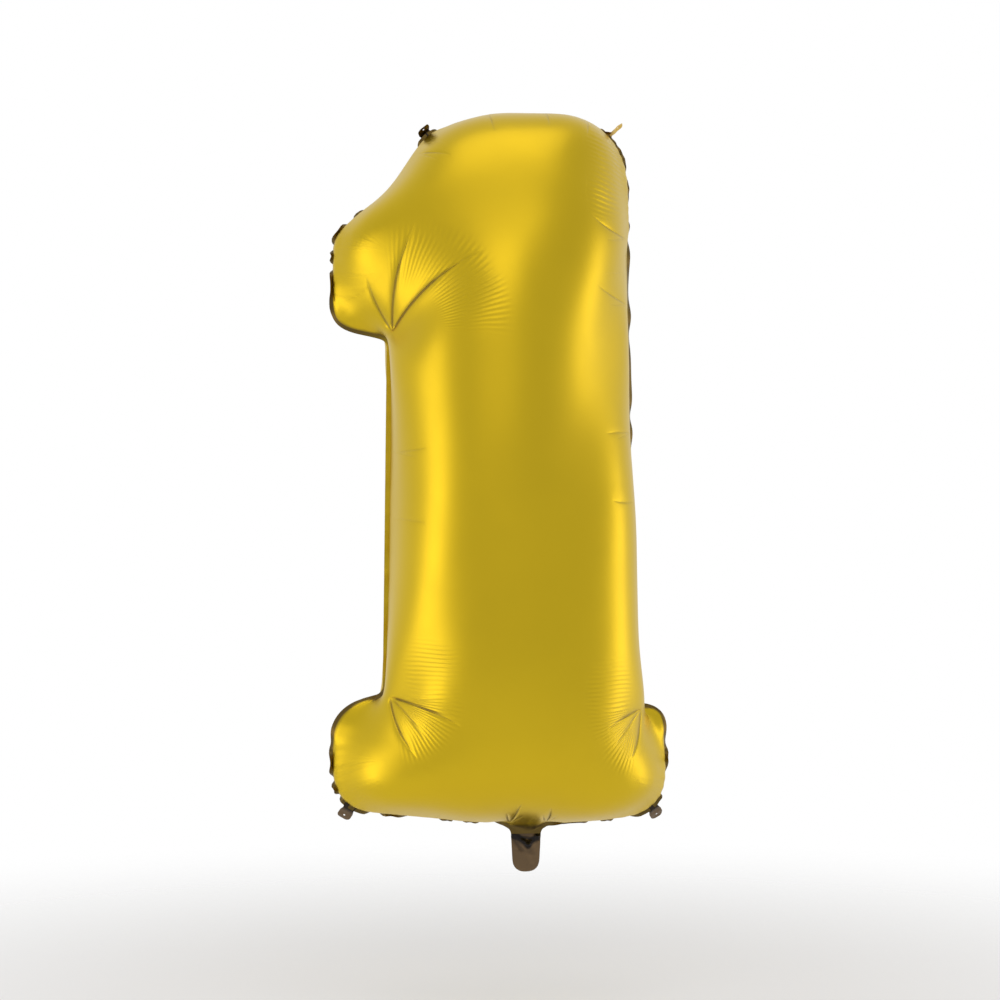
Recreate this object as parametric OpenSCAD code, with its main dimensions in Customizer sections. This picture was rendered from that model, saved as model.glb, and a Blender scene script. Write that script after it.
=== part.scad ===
// Foil number balloon in the shape of a 1, inflated. Two gold film panels are heat-sealed to
// each other round their edge, with an inflation tail at the bottom, a self-sealing valve of
// two clear films inside it, and four hang tabs on the seam.
// Millimetres, +Z up. The seam lies in the plane Y = 0 and the front panel faces -Y. The
// origin is the middle of the neck, where the tail leaves the body's seam.

/* [Numeral outline, at the seam] */
// Height of the inflated body above the neck
body_height = 864; // [840:1:890]
// Reach of the stem to the left of the neck
stem_left = 166; // [155:1:175]
// Reach of the stem to the right of the neck
stem_right = 128; // [120:1:135]
// Reach of the left foot
foot_left = 235; // [215:1:250]
// Reach of the right foot
foot_right = 172; // [165:1:185]
// Height of the crook above the left foot
left_crook_height = 156; // [145:1:165]
// Height of the crook above the right foot
right_crook_height = 139; // [130:1:150]
// Reach of the flag at the top left
flag_reach = 234; // [220:1:250]
// Height of the crook under the flag
flag_crook_height = 590; // [570:1:610]
// Height of the flag's upper corner
flag_top_height = 715; // [700:1:725]

/* [Inflated section] */
// Radius that the film takes across the stem
bulge_radius = 151; // [146:1:158]
// Depth of the bulge as a share of that radius
bulge_ratio = 0.94; // [0.85:0.01:1]

/* [Film and seam] */
// Thickness that stands in for one film of foil
film = 0.8; // [0.6:0.1:1.2]
// Width of the heat-sealed band outside the seam
seam_band = 6; // [4:0.5:8]

/* [Tail and valve] */
// Width of the tail at the neck
tail_width = 37; // [32:1:44]
// Width of the tail near its end
tail_end_width = 32; // [28:1:36]
// Length of the tail below the neck
tail_length = 60; // [50:1:75]
// Distance from the neck to the fold line across the tail
fold_drop = 18; // [14:1:24]
// Width of the valve channel
valve_width = 26; // [20:1:28]
// Height that the valve reaches inside the body
valve_reach = 70; // [50:1:90]
// Thickness that stands in for one valve film
valve_film = 0.4; // [0.3:0.1:0.6]

/* [Hang tabs] */
// Width of a tab along the seam
tab_width = 18; // [16:1:22]
// Length of a tab beyond its fold line
tab_length = 18; // [16:1:24]
// Radius of a tab's outer corners
tab_corner = 7; // [5:1:8]
// Radius of the punched ribbon hole
tab_hole_r = 1.25; // [1:0.25:2]

/* [Hidden] */

gold = [0.86, 0.66, 0.14];
gold_back = [0.8, 0.6, 0.12];
gold_tab = [0.72, 0.52, 0.14];
clear_film = [0.88, 0.92, 0.95];

// Half of the gap that the tail's fold line leaves between two stiff stand-in films
tail_gap = 2.2;
// Gap between a tab's fold line and the tab
tab_gap = 1.5;
// Extra cut depth, so that no two faces coincide
bleed = 0.1;
// Radius inside the three crooks, wider than the seam band
crook_radius = 10;
// Middle of the top edge, and the line in the stem that every row of the panel starts from
top_x = 10;
spine_x = -18;
spine_low = 100;
spine_high = 735;
// Rows from the neck to the top on each side, steps from the spine to the edge, steps an arc
row_count = 64;
step_count = 7;
arc_steps = 8;
// Share of the rows below the foot crooks, and below the flag crook
foot_share = 0.32;
stem_share = 0.6;

// Corners of each side from the neck up to the top: x, z and the corner's radius
left_corners = [
    [0, 0, 0],
    [-foot_left, 22, 45],
    [-foot_left - 1, 139, 46],
    [-stem_left - 4, left_crook_height, crook_radius],
    [-stem_left + 1, flag_crook_height, crook_radius],
    [-flag_reach, flag_crook_height + 27, 24],
    [-flag_reach, flag_top_height, 26],
    [-168, flag_top_height + 52, 120],
    [-120, body_height - 24, 34],
    [-42, body_height, 130],
    [top_x, body_height, 0]
];
right_corners = [
    [0, 0, 0],
    [foot_right, 10, 48],
    [foot_right, right_crook_height, 28],
    [stem_right + 5, right_crook_height, crook_radius],
    [stem_right - 5, body_height, 84],
    [top_x, body_height, 0]
];
left_crook = 3;
right_crook = 3;

function xz(p) = [p[0], p[1]];
function unit(v) = v / norm(v);
function mix(a, b, t) = a + (b - a) * t;

// The arc that rounds corner b between its neighbours a and c, or the bare corner
function rounded(a, b, c) = b[2] == 0 ? [xz(b)] :
    let (u = unit(xz(a) - xz(b)), v = unit(xz(c) - xz(b)), half = acos(u * v) / 2,
        centre = xz(b) + unit(u + v) * (b[2] / sin(half)),
        from = xz(b) + u * (b[2] / tan(half)) - centre,
        to = xz(b) + v * (b[2] / tan(half)) - centre)
    [for (i = [0 : arc_steps]) centre + b[2] * unit(mix(from, to, i / arc_steps))];

function side_points(corners, last) = [for (i = [0 : last])
    each rounded(corners[max(i - 1, 0)], corners[i], corners[min(i + 1, len(corners) - 1)])];

// Distance along a line of points to each of them
function running(points) = [for (i = 0, s = 0; i < len(points); i = i + 1,
    s = s + (i < len(points) ? norm(points[i] - points[i - 1]) : 0)) s];

// The point at distance s along a side
function along(points, marks, s) = [
    lookup(s, [for (i = [0 : len(points) - 1]) [marks[i], points[i][0]]]),
    lookup(s, [for (i = [0 : len(points) - 1]) [marks[i], points[i][1]]])];

// One point of a side for each row. The rows keep level with the spine at the crooks.
function side_rows(corners, crook) =
    let (points = side_points(corners, len(corners) - 1), marks = running(points),
        below = running(side_points(corners, crook)),
        to_crook = below[len(below) - 1 - arc_steps / 2],
        to_flag = to_crook + flag_crook_height - corners[crook][1],
        table = [[0, 0], [foot_share, to_crook], [stem_share, to_flag],
            [1, marks[len(marks) - 1]]])
    [for (i = [0 : row_count]) along(points, marks, lookup(i / row_count, table))];

function spine_point(i) = [spine_x, lookup(i / row_count, [[0, spine_low],
    [foot_share, left_crook_height - 6], [stem_share, flag_crook_height + 8],
    [1, spine_high]])];

function edge_gap(p, a, b) =
    let (t = max(0, min(1, ((p - a) * (b - a)) / ((b - a) * (b - a)))))
    norm(p - a - (b - a) * t);
function depth_in(p, loop) = min([for (i = [0 : len(loop) - 1])
    edge_gap(p, loop[i], loop[(i + 1) % len(loop)])]);

// Height of the inflated film at a distance in from the seam, as across a round tube
function swell(d, radius) = let (e = max(0, min(d, radius)))
    bulge_ratio * sqrt(e * (2 * radius - e));

// One closed shell: the swollen film with its half of the sealed band, on the side Y <= 0
module swollen_film() {
    left = side_rows(left_corners, left_crook);
    right = side_rows(right_corners, right_crook);
    loop = concat(left, [for (i = [row_count - 1 : -1 : 1]) right[i]]);
    size = len(loop);
    hub = [for (j = [0 : size - 1]) spine_point(j <= row_count ? j : size - j)];
    out = [for (j = [0 : size - 1]) let (d = unit(loop[(j + 1) % size]
        - loop[(j + size - 1) % size])) [-d[1], d[0]]];
    inset = [for (j = [0 : size - 1]) loop[j] + film * unit(hub[j] - loop[j])];
    band = [for (j = [0 : size - 1]) loop[j] + seam_band * out[j]];

    function ring(edge, k) = [for (j = [0 : size - 1])
        mix(hub[j], edge[j], sin(90 * k / step_count))];
    function outer(p) = [p[0], -max(film, swell(depth_in(p, loop), bulge_radius)), p[1]];
    function inner(p) = [p[0], -swell(depth_in(p, loop) - film, bulge_radius - film), p[1]];

    // Rings in order: outer skin from the spine out, the band, then the inner skin back in
    outer_hub = [for (i = [0 : row_count]) outer(spine_point(i))];
    inner_hub = [for (i = [0 : row_count]) inner(spine_point(i))];
    outer_rings = [for (k = [1 : step_count]) each [for (p = ring(loop, k)) k == step_count
        ? [p[0], -film, p[1]] : outer(p)]];
    band_top = [for (p = band) [p[0], -film, p[1]]];
    band_foot = [for (p = band) [p[0], 0, p[1]]];
    inner_rings = [for (k = [step_count : -1 : 1]) each [for (p = ring(inset, k))
        k == step_count ? [p[0], 0, p[1]] : inner(p)]];
    rings = 2 * step_count + 2;
    first = row_count + 1;

    function hub_index(j) = j <= row_count ? j : size - j;
    function at(r, j) = first + r * size + j % size;
    inner_first = first + rings * size;
    sides = [for (r = [0 : rings - 2]) for (j = [0 : size - 1])
        each [[at(r, j), at(r + 1, j), at(r + 1, j + 1)], [at(r, j), at(r + 1, j + 1), at(r, j + 1)]]];
    outer_cap = [for (j = [0 : size - 1]) let (a = hub_index(j), b = hub_index((j + 1) % size))
        each [[a, at(0, j), at(0, j + 1)], [a, at(0, j + 1), b]]];
    inner_cap = [for (j = [0 : size - 1]) let (r = rings - 1,
        a = inner_first + hub_index(j), b = inner_first + hub_index((j + 1) % size))
        each [[a, at(r, j + 1), at(r, j)], [a, b, at(r, j + 1)]]];
    polyhedron(concat(outer_hub, outer_rings, band_top, band_foot, inner_rings, inner_hub),
        concat(sides, outer_cap, inner_cap));
}

// A flat piece of film: a 2D outline in X and Z, from y_low to y_high
module flat_film(y_low, y_high) {
    translate([0, y_high, 0])
        rotate([90, 0, 0])
            linear_extrude(y_high - y_low)
                children();
}

// Space for the valve between the tail's two films, on the side Y <= 0
module valve_pocket(low, high) {
    flat_film(-valve_film, bleed)
        translate([-valve_width / 2 - bleed, low])
            square([valve_width + 2 * bleed, high - low]);
}

module neck_half() {
    flat_film(-valve_film - film, 0)
        translate([-tail_width / 2, -fold_drop + tail_gap])
            square([tail_width, fold_drop - tail_gap]);
}

module panel() {
    difference() {
        union() {
            swollen_film();
            neck_half();
        }
        valve_pocket(-fold_drop, 2 * film);
    }
}

module front_panel() {
    color(gold) panel();
}

module back_panel() {
    color(gold_back) mirror([0, 1, 0]) panel();
}

// The tail's outline below its fold line: tapered sides and a rounded end
module tail_outline() {
    corner = 13;
    hull() {
        translate([-tail_width / 2, -fold_drop - tail_gap - 1])
            square([tail_width, 1]);
        for (side = [-1, 1])
            translate([side * (tail_end_width / 2 - corner), -tail_length + corner])
                circle(corner, $fn = 32);
    }
}

module tail_half() {
    difference() {
        flat_film(-valve_film - film, 0) tail_outline();
        valve_pocket(-tail_length - 1, -fold_drop);
    }
}

module tail_front_film() {
    color(gold) tail_half();
}

module tail_back_film() {
    color(gold_back) mirror([0, 1, 0]) tail_half();
}

// One half of the clear valve channel, between two heights, on the side Y <= 0
module valve_strip(low, high) {
    flat_film(-valve_film, 0)
        translate([-valve_width / 2, low])
            square([valve_width, high - low]);
}

valve_end = -tail_length + 6;

module valve_front_film() {
    color(clear_film) valve_strip(-fold_drop + tail_gap, valve_reach);
}

module valve_back_film() {
    color(clear_film) mirror([0, 1, 0]) valve_strip(-fold_drop + tail_gap, valve_reach);
}

module tail_valve_front_film() {
    color(clear_film) valve_strip(valve_end, -fold_drop - tail_gap);
}

module tail_valve_back_film() {
    color(clear_film) mirror([0, 1, 0]) valve_strip(valve_end, -fold_drop - tail_gap);
}

// A hang tab of both films sealed together, lying along +X from its fold line at the origin
module tab() {
    thickness = 2 * film;
    rotate([90, 0, 0])
        difference() {
            translate([0, 0, -thickness / 2])
                linear_extrude(thickness) {
                    translate([0, -tab_width / 2])
                        square([tab_length - tab_corner, tab_width]);
                    translate([0, tab_corner - tab_width / 2])
                        square([tab_length, tab_width - 2 * tab_corner]);
                    for (side = [-1, 1])
                        translate([tab_length - tab_corner, side * (tab_width / 2 - tab_corner)])
                            circle(tab_corner, $fn = 48);
                }
            translate([tab_length - tab_corner, 0, 0])
                cylinder(thickness + 2, r = tab_hole_r, center = true, $fn = 32);
        }
}

// Puts a tab at a point of the seam band. It points along an angle in the XZ plane, is
// turned about its own length by twist, and is folded towards the front by fold.
module place_tab(root, angle, twist, fold) {
    translate([root[0], 0, root[1]])
        rotate([0, -angle, 0])
            rotate([twist, 0, 0])
                rotate([0, 0, -fold])
                    translate([tab_gap, 0, 0])
                        tab();
}

module tab_top_left() {
    color(gold_tab) place_tab([-124.5, 841.5], 134, 0, 70);
}

module tab_top_right() {
    color(gold_tab) place_tab([105.5, 844.5], 42, 74, 0);
}

module tab_foot_left() {
    color(gold_tab) place_tab([-218, 19.5], 242, 0, -46);
}

module tab_foot_right() {
    color(gold_tab) place_tab([159.5, 14], 306, 0, -46);
}

front_panel();
back_panel();
valve_front_film();
valve_back_film();
tail_front_film();
tail_back_film();
tail_valve_front_film();
tail_valve_back_film();
tab_top_left();
tab_top_right();
tab_foot_left();
tab_foot_right();
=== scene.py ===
# %% [markdown]
# # A foil number balloon, "1", in satin gold
# The real balloon is two sheets of very thin metallised film, welded together along one
# closed seam. Filled with gas, the sheets can't stretch, so the long cut edge has to fit a
# shorter seam line, and the film gathers into puckers along it.
# This lesson cuts the flat film, welds it, blows it up with Blender's Cloth while the seam is
# drawn in, and then adds the small puckers, the tail, the tabs, the valve and the finishes.

# %% Load the frame
import math
import bpy
import numpy as np
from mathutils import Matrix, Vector
from mathutils.geometry import delaunay_2d_cdt


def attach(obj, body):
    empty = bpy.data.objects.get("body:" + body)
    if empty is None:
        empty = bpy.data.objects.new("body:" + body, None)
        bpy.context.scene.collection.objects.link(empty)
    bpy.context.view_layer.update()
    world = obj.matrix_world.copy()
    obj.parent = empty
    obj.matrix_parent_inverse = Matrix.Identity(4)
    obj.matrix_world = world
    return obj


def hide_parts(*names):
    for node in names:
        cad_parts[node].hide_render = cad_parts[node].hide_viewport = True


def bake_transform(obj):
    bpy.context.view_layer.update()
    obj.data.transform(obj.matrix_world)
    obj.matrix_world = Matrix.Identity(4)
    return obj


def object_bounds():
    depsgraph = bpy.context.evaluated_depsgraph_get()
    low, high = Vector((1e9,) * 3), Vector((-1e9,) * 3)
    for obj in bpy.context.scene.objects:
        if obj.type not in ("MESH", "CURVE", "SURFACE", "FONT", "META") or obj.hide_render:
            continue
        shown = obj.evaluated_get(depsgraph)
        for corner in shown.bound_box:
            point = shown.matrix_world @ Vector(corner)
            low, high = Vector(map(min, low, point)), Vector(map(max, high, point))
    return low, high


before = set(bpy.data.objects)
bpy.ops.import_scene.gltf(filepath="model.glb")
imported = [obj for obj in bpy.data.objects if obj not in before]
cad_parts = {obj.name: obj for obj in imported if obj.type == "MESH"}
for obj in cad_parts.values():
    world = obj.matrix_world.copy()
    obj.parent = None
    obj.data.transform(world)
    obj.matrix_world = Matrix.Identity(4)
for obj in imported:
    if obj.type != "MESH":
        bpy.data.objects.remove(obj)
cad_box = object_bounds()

MM = 0.001
low = np.array(cad_box[0])
high = np.array(cad_box[1])
middle = (low + high) / 2
print("object box, mm:", (low / MM).round(1), (high / MM).round(1))

# %% [markdown]
# ## Camera
# The camera comes first, so that everything after it can be judged from the same place.
# It stands level with the middle of the balloon, a few steps away and a little to its left.
# A long lens keeps the edges of the balloon nearly parallel, as a product picture does. A
# shorter lens from nearer would make the middle swell towards the viewer.

# %% The camera
def aim(thing, target):
    """Turns a camera or a lamp so that its -Z axis looks at the target."""
    away = Vector(target) - thing.location
    thing.rotation_euler = away.to_track_quat("-Z", "Y").to_euler()


CAMERA_TURN = math.radians(-8)
CAMERA_DISTANCE = 3.3
FIELD_WIDTH = 1.2233
aim_point = Vector((-0.032, 0, 0.395))
bpy.ops.object.select_all(action="DESELECT")
back = Vector((math.sin(CAMERA_TURN), -math.cos(CAMERA_TURN), 0))
bpy.ops.object.camera_add(location=aim_point + CAMERA_DISTANCE * back)
camera = bpy.context.object
camera.name = "camera"
camera.data.lens = camera.data.sensor_width * CAMERA_DISTANCE / FIELD_WIDTH
camera.data.clip_end = 60
aim(camera, aim_point)
bpy.context.scene.camera = camera
print("lens, mm:", round(camera.data.lens, 1))

# %% [markdown]
# ## The cut film
# Both films are cut to the same flat figure, bigger than the finished balloon, because a
# flat tube of film that is blown up gets narrower. The figure is drawn as a line through a
# few corners, each with its own radius, in millimetres across and up from the neck.
# Rounding corners in code gives clean curves from very few numbers, where a traced line
# would need hundreds of points.

# %% Helpers for outlines
def rounded(corners, steps=10):
    """A closed line through (x, z, radius) corners, each replaced by an arc."""
    line = []
    for i, (x, z, radius) in enumerate(corners):
        here = np.array([x, z], float)
        if radius == 0:
            line.append(here)
            continue
        before = np.array(corners[i - 1][:2], float) - here
        after = np.array(corners[(i + 1) % len(corners)][:2], float) - here
        room = 0.49 * min(np.linalg.norm(before), np.linalg.norm(after))
        before /= np.linalg.norm(before)
        after /= np.linalg.norm(after)
        half = math.acos(float(before @ after)) / 2
        reach = min(radius / math.tan(half), room)
        radius = reach * math.tan(half)
        between = (before + after) / np.linalg.norm(before + after)
        centre = here + between * radius / math.sin(half)
        for share in np.linspace(0, 1, steps):
            arm = here + (before * (1 - share) + after * share) * reach - centre
            line.append(centre + arm / np.linalg.norm(arm) * radius)
    return np.array(line)


def run_lengths(line):
    """Distance along a closed line at each of its points, and once round."""
    closed = np.vstack([line, line[:1]])
    return np.concatenate([[0], np.cumsum(np.linalg.norm(np.diff(closed, axis=0), axis=1))])


def even(line, spacing, closed=True):
    """The same line with points at an even spacing."""
    path = np.vstack([line, line[:1]]) if closed else line
    run = np.concatenate([[0], np.cumsum(np.linalg.norm(np.diff(path, axis=0), axis=1))])
    count = int(round(run[-1] / spacing))
    stops = np.linspace(0, run[-1], count + 1)
    if closed:
        stops = stops[:-1]
    return np.stack([np.interp(stops, run, path[:, k]) for k in range(2)], 1)


def outward(line):
    """Unit normals of a clockwise closed line."""
    along = np.roll(line, -1, 0) - np.roll(line, 1, 0)
    normal = np.stack([-along[:, 1], along[:, 0]], 1)
    return normal / np.linalg.norm(normal, axis=1)[:, None]


def inside(points, line):
    """Which points lie inside a closed line: a ray from them crosses it an odd number of times."""
    odd = np.zeros(len(points), bool)
    for a, b in zip(line, np.roll(line, -1, 0)):
        if a[1] == b[1]:
            continue
        crosses = (a[1] > points[:, 1]) != (b[1] > points[:, 1])
        odd ^= crosses & (points[:, 0] < a[0] + (b[0] - a[0]) * (points[:, 1] - a[1]) / (b[1] - a[1]))
    return odd


def nearest(points, line):
    """For each point: distance to a closed line, its distance along, and the foot point."""
    side = np.roll(line, -1, 0) - line
    square = (side * side).sum(1)
    run = run_lengths(line)
    gap = np.empty(len(points))
    way = np.empty(len(points))
    foot = np.empty((len(points), 2))
    for first in range(0, len(points), 400):
        part = points[first:first + 400]
        away = part[:, None, :] - line[None]
        share = np.clip((away * side).sum(2) / square, 0, 1)
        spot = line[None] + share[:, :, None] * side
        far = ((part[:, None, :] - spot) ** 2).sum(2)
        best = far.argmin(1)
        rows = np.arange(len(part))
        gap[first:first + 400] = np.sqrt(far[rows, best])
        way[first:first + 400] = run[best] + share[rows, best] * np.sqrt(square[best])
        foot[first:first + 400] = spot[rows, best]
    return gap, way, foot


def eased(value, start, end):
    """0 before start, 1 after end, and smooth between."""
    share = np.clip((value - start) / (end - start), 0, 1)
    return share * share * (3 - 2 * share)


print("round a rounded square of 10, radius 2:", run_lengths(rounded(
    [(0, 0, 2), (0, 10, 2), (10, 10, 2), (10, 0, 2)]))[-1].round(2))

# %% [markdown]
# ## The outline of the gas space and the weld
# The gas space is drawn in three runs: the right side and foot, the small neck at the
# bottom, and the left foot, waist and flag. A weld 6 mm wide runs all round it, and the
# tail hangs below the neck. The two films are welded, so weld and tail are one flat net,
# while the gas space has a front net and a back net that share their edge.

# %% The cut, in millimetres
WELD = 6
right_side = [
    (-152, 956, 65), (-24, 992, 260), (84, 980, 180), (152, 922, 90), (186, 796, 260), (196, 688, 515),
]
right_foot = [(198, 188, 8), (216, 178, 14), (212, 122, 80), (188, 46, 75), (96, 4, 250)]
neck = [(20, 1, 8), (12, -12, 6), (-12, -12, 6), (-20, 0, 8)]
left_foot = [(-92, -2, 395), (-248, 34, 90), (-282, 116, 90), (-268, 196, 60), (-248, 196, 8)]
flag = [(-256, 660, 8), (-296, 708, 40), (-296, 752, 60), (-284, 820, 100), (-228, 870, 120)]
tail_edge = [(22, -6, 0), (18.5, -9, 3), (16, -60, 13), (-16, -60, 13), (-18.5, -9, 3), (-22, -6, 0)]
# spacing of the net's points, in the body and in the tail, and of the points of fine lines
NET = 13.5
TAIL_NET = 6
EDGE_STEP = 2.0
gas_edge = even(rounded(right_side + right_foot + neck + left_foot + flag), NET)
cut_edge = even(rounded(right_side + right_foot + [(0, 0, 0)] + left_foot + flag), EDGE_STEP)
print("cut size, mm:", np.ptp(cut_edge, axis=0).round(0))
print("cut edge, mm:", run_lengths(cut_edge)[-1].round(0))

# %% [markdown]
# ## A net of triangles
# Cloth behaves best on a net of even triangles with no main direction, so that creases may
# run any way. A grid of squares would crease along its own lines. Points in rows like a
# honeycomb fill the outline, and a Delaunay triangulation joins them.

# %% Fill the outline with triangles
def honeycomb(corner, far_corner, spacing):
    """Points in staggered rows between two corners."""
    rows = []
    for k, z in enumerate(np.arange(corner[1], far_corner[1], spacing * math.sqrt(3) / 2)):
        x = np.arange(corner[0] + (k % 2) * spacing / 2, far_corner[0], spacing)
        rows.append(np.stack([x, np.full(len(x), z)], 1))
    return np.vstack(rows)


# the stretch of the gas edge that the tail hangs from: half width and height
NECK_ZONE = (27, 30)
# corners of the field of points that fills the tail
TAIL_FIELD = ((-18, -58), (18, -8))


def cut_net():
    """Points and triangles of one flat film, and which of them hold gas."""
    count = len(gas_edge)
    near_neck = np.where((np.abs(gas_edge[:, 0]) < NECK_ZONE[0]) & (gas_edge[:, 1] < NECK_ZONE[1]))[0]
    rim = gas_edge + outward(gas_edge) * WELD
    tail_line = even(rounded(tail_edge), TAIL_NET, closed=False)
    outer = np.vstack([rim[:near_neck[0]], tail_line, rim[near_neck[-1] + 1:]])
    field = honeycomb(outer.min(0), outer.max(0), NET)
    field = field[inside(field, gas_edge) & (nearest(field, gas_edge)[0] > 0.6 * NET)]
    strip = honeycomb(*TAIL_FIELD, TAIL_NET)
    clear = (nearest(strip, gas_edge)[0] > 3) & (nearest(strip, outer)[0] > 3)
    strip = strip[clear & inside(strip, outer) & ~inside(strip, gas_edge)]
    points = np.vstack([gas_edge, outer, field, strip])
    edges = [(i, (i + 1) % count) for i in range(count)]
    edges += [(count + i, count + (i + 1) % len(outer)) for i in range(len(outer))]
    hull = [list(range(count, count + len(outer)))]
    spots, _, faces, origin, _, _ = delaunay_2d_cdt([tuple(p) for p in points], edges, hull, 1, 1e-4)
    spots = np.array([tuple(p) for p in spots])
    faces = np.array([list(f)[:3] for f in faces])
    seam = np.full(count, -1)
    for i, sources in enumerate(origin):
        for source in sources:
            if source < count:
                seam[source] = i
    return spots, faces, seam, inside(spots[faces].mean(1), gas_edge)


spots, triangles, seam, with_gas = cut_net()
print("net:", len(spots), "points,", len(triangles), "triangles,", len(seam), "on the seam")

# %% [markdown]
# ## Two films, welded
# The back film has its own points inside the gas space and shares the seam and the weld
# with the front film. To give the gas something to push against, the two films start a
# hair apart, like a pillow case that has just been opened.

# %% Join front and back
def facing_front(net, faces):
    """Turns triangles so that their normals point to -Y."""
    a, b, c = (net[faces[:, k]] for k in range(3))
    wrong = np.cross(b - a, c - a)[:, 1] > 0
    faces[wrong] = faces[wrong][:, ::-1]
    return faces


in_gas = np.zeros(len(spots), bool)
in_gas[np.unique(triangles[with_gas])] = True
in_gas[seam] = False
in_gas &= nearest(spots, gas_edge)[0] > 1e-3
partner = np.arange(len(spots))
partner[in_gas] = len(spots) + np.arange(in_gas.sum())
cut = np.vstack([spots, spots[in_gas]])
flat_net = np.stack([cut[:, 0], np.zeros(len(cut)), cut[:, 1]], 1)
triangles = facing_front(flat_net, triangles)
front_faces = triangles[with_gas]
back_faces = partner[front_faces][:, ::-1]
weld_faces = triangles[~with_gas]
side = np.zeros(len(cut))
side[:len(spots)][in_gas] = -1
side[len(spots):] = 1
print("both films:", len(cut), "points")

# %% [markdown]
# ## Where the seam ends up
# A full balloon pulls its seam in: the stem gets narrower by a third, and the top, the flag
# and the feet shrink too. The finished seam line is drawn the same way as the cut, and a few
# matching marks say which part of the cut goes where. Between the marks the film slides
# evenly. The difference between the two lengths is what the puckers have to take up.

# %% The finished seam, in millimetres, and the marks
seam_top = [(-120, 840, 34), (-42, 864, 130), (123, 864, 84)]
seam_right = [(133, 139, 10), (172, 139, 28), (172, 10, 48), (0, 0, 0)]
seam_left = [(-235, 22, 45), (-236, 139, 46), (-170, 156, 10), (-165, 594, 8)]
seam_flag = [(-236, 608, 20), (-234, 715, 26), (-168, 767, 120)]
full_edge = even(rounded(seam_top + seam_right + seam_left + seam_flag), EDGE_STEP)
marks = [
    ((-159, 947), (-125, 828)), ((0, 988), (10, 864)), ((140, 932), (104, 829)),
    ((188, 778), (122, 738)), ((197, 509), (128, 444)), ((198, 192), (134, 142)),
    ((214, 135), (172, 79)), ((183, 52), (160, 26)), ((20, 0), (20, 0)),
    ((-20, 0), (-20, 0)), ((-227, 32), (-201, 20)), ((-278, 130), (-235, 85)),
    ((-248, 205), (-171, 157)), ((-254, 480), (-166, 420)), ((-255, 655), (-166, 594)),
    ((-297, 720), (-235, 650)), ((-271, 828), (-224, 722)),
]


# widths over which the marks' steps and the puckers' heights are smoothed
RATE_BLUR = 22
DRAWN_BLUR = 30


def softened(values, width, step):
    """A closed run of values, smoothed over a width."""
    reach = np.arange(-3 * width, 3 * width + step, step)
    weight = np.exp(-(reach / width) ** 2)
    pad = len(reach) // 2
    long = np.concatenate([values[-pad:], values, values[:pad]])
    return np.convolve(long, weight / weight.sum(), "valid")


def seam_plan():
    """Along the cut edge: the matching distance along the full seam, and the share drawn in."""
    cut_run = run_lengths(cut_edge)[-1]
    full_run = run_lengths(full_edge)[-1]
    on_cut = nearest(np.array([a for a, b in marks], float), cut_edge)[1]
    on_full = nearest(np.array([b for a, b in marks], float), full_edge)[1]
    order = np.argsort(on_cut)
    turn = 2 * math.pi / full_run
    on_cut, on_full = on_cut[order], np.unwrap(on_full[order] * turn) / turn
    on_cut = np.concatenate([[on_cut[-1] - cut_run], on_cut, [on_cut[0] + cut_run]])
    on_full = np.concatenate([[on_full[-1] - full_run], on_full, [on_full[0] + full_run]])
    stops = np.arange(0, cut_run, EDGE_STEP)
    plain = np.interp(stops, on_cut, on_full)
    rate = softened(np.gradient(plain, stops), RATE_BLUR, EDGE_STEP)[:len(stops)]
    smooth = np.concatenate([[0], np.cumsum(rate[1:] + rate[:-1])])
    smooth += (plain - smooth).mean()
    return stops, smooth, np.clip(1 - rate, 0, 1)


plan_stops, plan_full, plan_drawn = seam_plan()
print("drawn in: most", plan_drawn.max().round(2), " mean", plan_drawn.mean().round(2))

# %% [markdown]
# ## Targets for the seam, the weld and the tail
# Each seam point moves to its place on the finished line. The weld follows its nearest seam
# point, turned with the line. The neck and the tail hold no gas and keep their size.

# %% Move the seam on paper
def at_run(line, run):
    """Points of a closed line at distances along it."""
    stops = run_lengths(line)
    closed = np.vstack([line, line[:1]])
    run = np.mod(run, stops[-1])
    return np.stack([np.interp(run, stops, closed[:, k]) for k in range(2)], 1)


# below this height and within this half width, welded film is tail
TAIL_TOP = -5
TAIL_HALF = 22.5
STUB_HALF = 19.5


def drawn_in_net():
    """Where every point of the flat net goes when the seam is drawn in."""
    start = cut[seam]
    run = nearest(start, cut_edge)[1]
    goal = at_run(full_edge, np.interp(run, plan_stops, plan_full))
    drawn = np.interp(run, plan_stops, plan_drawn)
    stub = (np.abs(start[:, 0]) < STUB_HALF) & (start[:, 1] < 0.5)
    goal[stub] = start[stub]
    drawn[stub] = 0
    moved = cut.copy()
    for first in range(0, len(cut), 1000):
        part = slice(first, first + 1000)
        weight = (((cut[part, None, :] - start[None]) ** 2).sum(2) + 1) ** -1.5
        moved[part] += (weight @ (goal - start)) / weight.sum(1)[:, None]
    was, now = outward(start), outward(goal)
    was_along = np.stack([was[:, 1], -was[:, 0]], 1)
    now_along = np.stack([now[:, 1], -now[:, 0]], 1)
    on_tail = (cut[:, 1] < TAIL_TOP) & (np.abs(cut[:, 0]) < TAIL_HALF)
    weld = np.setdiff1d(np.unique(weld_faces), seam)
    tail = weld[on_tail[weld]]
    weld = weld[~on_tail[weld]]
    near = ((cut[weld, None, :] - start[None]) ** 2).sum(2).argmin(1)
    off = cut[weld] - start[near]
    out = (off * was[near]).sum(1)[:, None]
    along = ((off * was_along[near]).sum(1) * (1 - drawn[near]))[:, None]
    moved[weld] = goal[near] + out * now[near] + along * now_along[near]
    moved[seam] = goal
    moved[tail] = cut[tail]
    return moved


drawn_cut = drawn_in_net()
held = np.unique(np.concatenate([seam, weld_faces.ravel()]))
print("finished seam box, mm:", drawn_cut[held].min(0).round(1), drawn_cut[held].max(0).round(1))

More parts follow.
